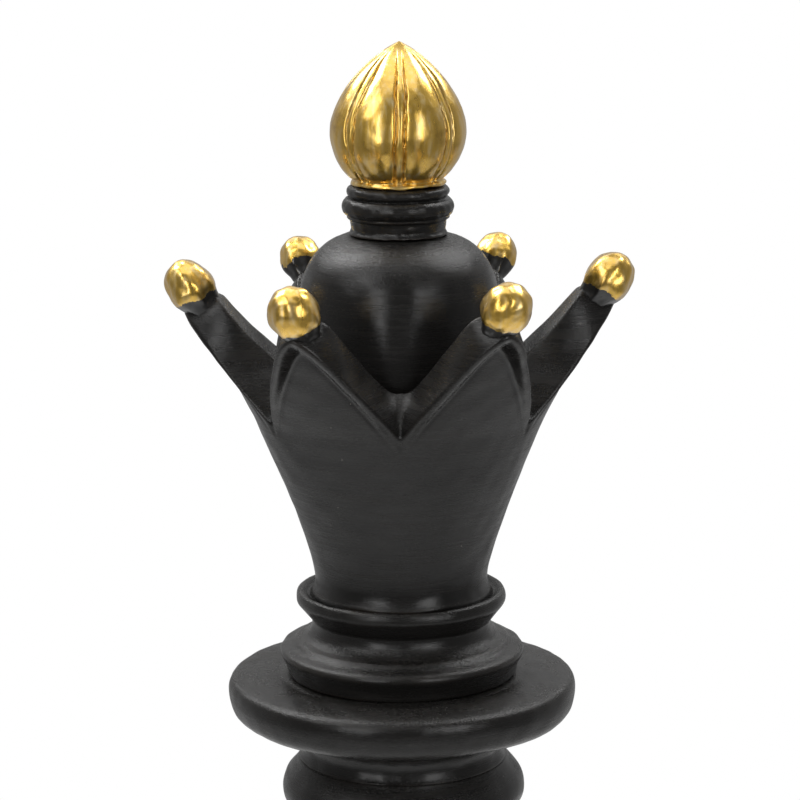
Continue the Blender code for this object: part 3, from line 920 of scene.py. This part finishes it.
class QUEEN_OT_bud(bpy.types.Operator):
    """Builds the gilded bud finial"""

    bl_idname = "chess_queen.bud"
    bl_label = "Bud"

    def execute(self, context):
        settings = context.scene.chess_queen.gilding
        seat, peak = bottom("finial_bud") - 0.2, top("finial_bud")
        outer = path(
            (15.0, seat),
            (16.0, seat),
            curve((16.4, seat), (17.5, seat + 0.2), (17.4, seat + 1.2), (16.3, seat + 1.8), 10),
            curve((16.2, seat + 2.2), (19.2, 422.9), (BUD_RADIUS, 430.4), (BUD_RADIUS, 438.4), 40),
            curve((BUD_RADIUS, 438.8), (BUD_RADIUS - 0.1, 450.2), (12.7, 464.2), (0, peak), 60),
        )
        outer = worn(outer, 0.36, 0.42)
        inner = path((6.9, BUD_HOLE_TOP), (6.9, 434), (9.4, 434), (9.4, seat))
        outline = path(inner, outer[:-1])
        points = turned_grid(outline, BUD_SEGMENTS)
        radius, height = outline[None, :, 0], points[..., 2]
        shown = np.concatenate([np.zeros(len(inner)), np.ones(len(outer) - 1)])[None, :]
        petals = shown * smoothstep(seat + 1.2, seat + 3.2, height)
        lap = shown * (1 - smoothstep(seat + 0.6, seat + 1.8, height))
        scallop = 0.3 * ripples(points, 5.5, 91) + 0.25 * ripples(points, 11, 94)
        angle = np.arctan2(points[..., 1], points[..., 0])
        relief = petal_relief(angle, height, radius, settings) * petals
        lumps = (0.16 * ripples(points, 19, 92) + 0.035 * ripples(points, 4, 93)) * shown
        factor = (1 - relief / np.maximum(radius, 1) + lumps / 24)[..., None]
        points = points * np.concatenate([factor, factor, np.ones_like(factor)], 2)
        points[..., 2] -= np.maximum(scallop, -0.3) * lap
        points[..., 0] += BUD_LEAN * (points[..., 2] - BUD_WAIST) * petals
        poles = [0, 0, BUD_HOLE_TOP], [BUD_LEAN * (peak - BUD_WAIST), 0, peak]
        points, faces = closed_ends(points, *poles)
        material = shared("burnished_gold_leaf", gold_leaf, "burnished_gold_leaf")
        make_piece("gilded_bud", points, faces, material, ["finial_bud"])
        return {"FINISHED"}


# Fittings and felt


def plain_metal(name, colour, roughness, grain_mm, ripple_mm):
    """A worked metal: its colour, clouded, with a fine grain."""
    material, tree, shader = new_material(name, Metallic=1.0)
    place = node(tree, "TexCoord").outputs["Object"]
    grain = node(tree, "TexNoise", {"Vector": place, "Scale": per_mm(grain_mm), "Detail": 3.0})
    clouds = node(tree, "TexNoise", {"Vector": place, "Scale": per_mm(14), "Detail": 4.0})
    darker = tuple(0.6 * c for c in linear(colour))
    tone = node(tree, "Mix", {"Factor": clouds, 6: rgba(linear(colour)), 7: rgba(darker)}, data_type="RGBA")
    gloss = node(tree, "MapRange", {"Value": grain, "To Min": roughness - 0.08, "To Max": roughness + 0.1})
    bump = node(tree, "Bump", {"Height": grain, "Strength": 0.5, "Distance": ripple_mm * MM})
    fill(shader, {"Base Color": tone.outputs[2], "Roughness": gloss, "Normal": bump})
    return material


def pressed_felt():
    """Pressed wool felt, dyed black: matt, with short loose fibres that catch the light."""
    material, tree, shader = new_material("pressed_black_felt", Sheen_Weight=0.4, Sheen_Roughness=0.5)
    place = node(tree, "TexCoord").outputs["Object"]
    fibres = node(tree, "TexNoise", {
        "Vector": place, "Scale": per_mm(0.8), "Detail": 6.0, "Roughness": 0.75, "Distortion": 1.5,
    })
    tone = node(tree, "Mix", {
        "Factor": fibres, 6: rgba(linear("121212")), 7: rgba(linear("353434")),
    }, data_type="RGBA")
    bump = node(tree, "Bump", {"Height": fibres, "Strength": 0.8, "Distance": 0.0004})
    fill(shader, {"Base Color": tone.outputs[2], "Roughness": 0.95, "Normal": bump})
    return material


class QUEEN_OT_fittings(bpy.types.Operator):
    """Finishes the rod, nuts, washers, screws, plate, ballast and felt"""

    bl_idname = "chess_queen.fittings"
    bl_label = "Fittings and felt"

    def execute(self, context):
        zinc = plain_metal("zinc_plated_steel", "C4C6C8", 0.34, 0.9, 0.02)
        brass = plain_metal("turned_brass", "D9B366", 0.3, 0.6, 0.02)
        iron = plain_metal("grey_cast_iron", "4A4A4C", 0.7, 1.6, 0.2)
        by_slot = {"zinc_steel": zinc, "brass": brass, "cast_iron": iron}
        slots = {row["node"]: row["material_slot"] for row in frame["record"]["subparts"]}
        for name, made in frame["nodes"].items():
            if slots[name] in by_slot:
                made.material_slots[0].material = by_slot[slots[name]]
        height = top("felt_pad")
        rim = path((0.01, 0), (74.6, 0), (75.2, 0.6), (75.2, 2.0), (74.6, 2.5), (0.01, 2.5))
        rim = worn(rim, 1.2, 0.5)[1:-1]
        points, faces = closed_ends(turned_grid(rim, 192), [0, 0, 0], [0, 0, height])
        make_piece("felt_foot", points, faces, pressed_felt(), ["felt_pad"])
        return {"FINISHED"}


# The studio

FLOOR_RADIUS = 500
FLOOR_LEVEL = -0.4  # just under the felt
TALL_LIGHT = 1.0  # in metres


def studio_white():
    """Painted studio floor: a matt pale grey near the piece that brightens to plain white at its rim."""
    material, tree, shader = new_material("painted_studio_floor", Roughness=0.7)
    place = node(tree, "TexCoord").outputs["Object"]
    distance = node(tree, "VectorMath", {0: place}, operation="LENGTH")
    fade = node(tree, "MapRange", {
        "Value": distance.outputs["Value"], "From Min": 0.16, "From Max": 0.42, "To Max": 1.0,
    }, interpolation_type="SMOOTHSTEP")
    mottle = node(tree, "TexNoise", {"Vector": place, "Scale": per_mm(120), "Detail": 2.0})
    tone = node(tree, "Mix", {
        "Factor": mottle, 6: rgba(linear("EDEDEC")), 7: rgba(linear("E6E6E5")),
    }, data_type="RGBA")
    fill(shader, {"Base Color": tone.outputs[2]})
    seen = node(tree, "LightPath").outputs["Is Camera Ray"]
    strength = node(tree, "MapRange", {"Value": seen, "To Min": 0.62})
    glow = node(tree, "Emission", {"Color": (1, 1, 1, 1), "Strength": strength})
    mixed = node(tree, "MixShader", {0: fade, 1: shader, 2: glow})
    fill(tree.nodes["Material Output"], {"Surface": mixed})
    return material


class QUEEN_OT_stage(bpy.types.Operator):
    """Sets up the floor, the soft lights, the white surround and the camera"""

    bl_idname = "chess_queen.stage"
    bl_label = "Stage"

    def execute(self, context):
        self.make_floor()
        self.make_surround(context.scene)
        settings = context.scene.chess_queen.studio
        aim = Vector((0, 0, 0.36))
        self.make_light("strip_left", (-0.62, -1.13, 0.68), aim, (0.15, 1.1), settings.strip_power)
        self.make_light("strip_right", (0.68, -1.08, 0.68), aim, (0.18, 1.1), settings.strip_power)
        for name, place, size, share in (
            ("middle", (0.0, -0.05, 1.45), (0.8, 0.8), 0.5),
            ("left", (-0.77, 0.54, 1.42), (0.55, 0.55), 2.3),
            ("right", (0.77, 0.54, 1.42), (0.55, 0.55), 1.6),
            ("back", (0.0, 1.1, 1.25), (1.5, 0.5), 0.35),
            ("key", (-0.8, -0.47, 1.26), (0.5, 0.5), 0.6),
        ):
            self.make_light(f"canopy_{name}", place, aim, size, share * settings.canopy_power)
        self.make_camera(context.scene, settings)
        return {"FINISHED"}

    def make_floor(self):
        """A flat disc: rings of points at even radii."""
        segments, rings = 96, 12
        radius = np.linspace(FLOOR_RADIUS, 0, rings, endpoint=False)
        points = turned_grid(np.stack([radius, np.full(rings, FLOOR_LEVEL)], 1), segments).reshape(-1, 3)
        points = np.concatenate([points, [[0, 0, FLOOR_LEVEL]]])
        last = np.arange(segments) * rings + rings - 1
        hub = np.full(segments, segments * rings)
        centre = np.stack([last, np.roll(last, -1), hub, hub], 1)
        faces = np.concatenate([grid_faces(segments, rings, close_along=False), centre])
        mesh = new_mesh("studio_floor", points, faces, studio_white())
        floor = bpy.data.objects.new("studio_floor", mesh)
        bpy.context.scene.collection.objects.link(floor)

    def make_surround(self, scene):
        """A white sweep: plain white to look at, and a light that is brighter behind than in front."""
        world = bpy.data.worlds.new("white_sweep")
        world.use_nodes = True
        tree = world.node_tree
        direction = node(tree, "TexCoord").outputs["Generated"]
        split = node(tree, "SeparateXYZ", {0: direction})
        level = node(tree, "MapRange", {
            "Value": split.outputs["Y"], "From Min": -0.7, "From Max": 0.8, "To Min": 0.15, "To Max": 0.38,
        }, interpolation_type="SMOOTHSTEP")
        seen = node(tree, "LightPath").outputs["Is Camera Ray"]
        strength = node(tree, "Mix", {"Factor": seen, 2: level, 3: 1.0}, data_type="FLOAT")
        fill(tree.nodes["Background"], {"Color": (1, 1, 1, 1), "Strength": strength})
        scene.world = world
        scene.view_settings.view_transform = "Standard"

    def make_light(self, name, place, aim, size, power):
        """A soft light that faces the aim. A tall one faces the axis level, so that it stands upright."""
        light = bpy.data.lights.new(name, "AREA")
        light.shape = "RECTANGLE"
        light.size, light.size_y = size
        light.energy = power
        made = bpy.data.objects.new(name, light)
        bpy.context.scene.collection.objects.link(made)
        made.location = place
        if size[1] > TALL_LIGHT:
            aim = Vector((aim.x, aim.y, place[2]))
        made.rotation_euler = (aim - made.location).to_track_quat("-Z", "Y").to_euler()

    def make_camera(self, scene, settings):
        """Looks down at a height on the axis from in front, rolled by under half a degree."""
        data = bpy.data.cameras.new("camera")
        data.sensor_width, data.lens = 36, 135
        camera = bpy.data.objects.new("camera", data)
        scene.collection.objects.link(camera)
        aim_height, roll = 0.3412, math.radians(0.42)
        pitch, distance = settings.camera_pitch, settings.camera_distance
        eye = Vector((0, -distance * math.cos(pitch), aim_height + distance * math.sin(pitch)))
        turn = Euler((math.pi / 2 - pitch, 0, 0)).to_matrix() @ Matrix.Rotation(-roll, 3, "Z")
        camera.matrix_world = Matrix.Translation(eye) @ turn.to_4x4()
        data.clip_start, data.clip_end = 0.05, 50
        scene.camera = camera


OPERATORS = (
    QUEEN_OT_foot,
    QUEEN_OT_stem,
    QUEEN_OT_collars,
    QUEEN_OT_dome_and_neck,
    QUEEN_OT_crown,
    QUEEN_OT_tips,
    QUEEN_OT_bud,
    QUEEN_OT_fittings,
    QUEEN_OT_stage,
)


class QUEEN_PT_pieces(bpy.types.Panel):
    """Lists what builds each part of the queen"""

    bl_idname = "QUEEN_PT_pieces"
    bl_label = "Giant Chess Queen"
    bl_space_type = "VIEW_3D"
    bl_region_type = "UI"
    bl_category = "Chess Queen"

    def draw(self, context):
        queen = context.scene.chess_queen
        for group in (queen.resin, queen.gilding, queen.crown, queen.studio):
            for name in group.__annotations__:
                self.layout.prop(group, name)
        for operator in OPERATORS:
            self.layout.operator(operator.bl_idname)


CLASSES = (
    ResinSettings,
    GildingSettings,
    CrownSettings,
    StudioSettings,
    QueenSettings,
    *OPERATORS,
    QUEEN_PT_pieces,
)


def register():
    for cls in CLASSES:
        bpy.utils.register_class(cls)
    bpy.types.Scene.chess_queen = PointerProperty(type=QueenSettings)


def unregister():
    del bpy.types.Scene.chess_queen
    for cls in reversed(CLASSES):
        bpy.utils.unregister_class(cls)


def main():
    register()
    for operator in OPERATORS:
        group, name = operator.bl_idname.split(".")
        getattr(getattr(bpy.ops, group), name)()


if __name__ == "__main__":
    main()
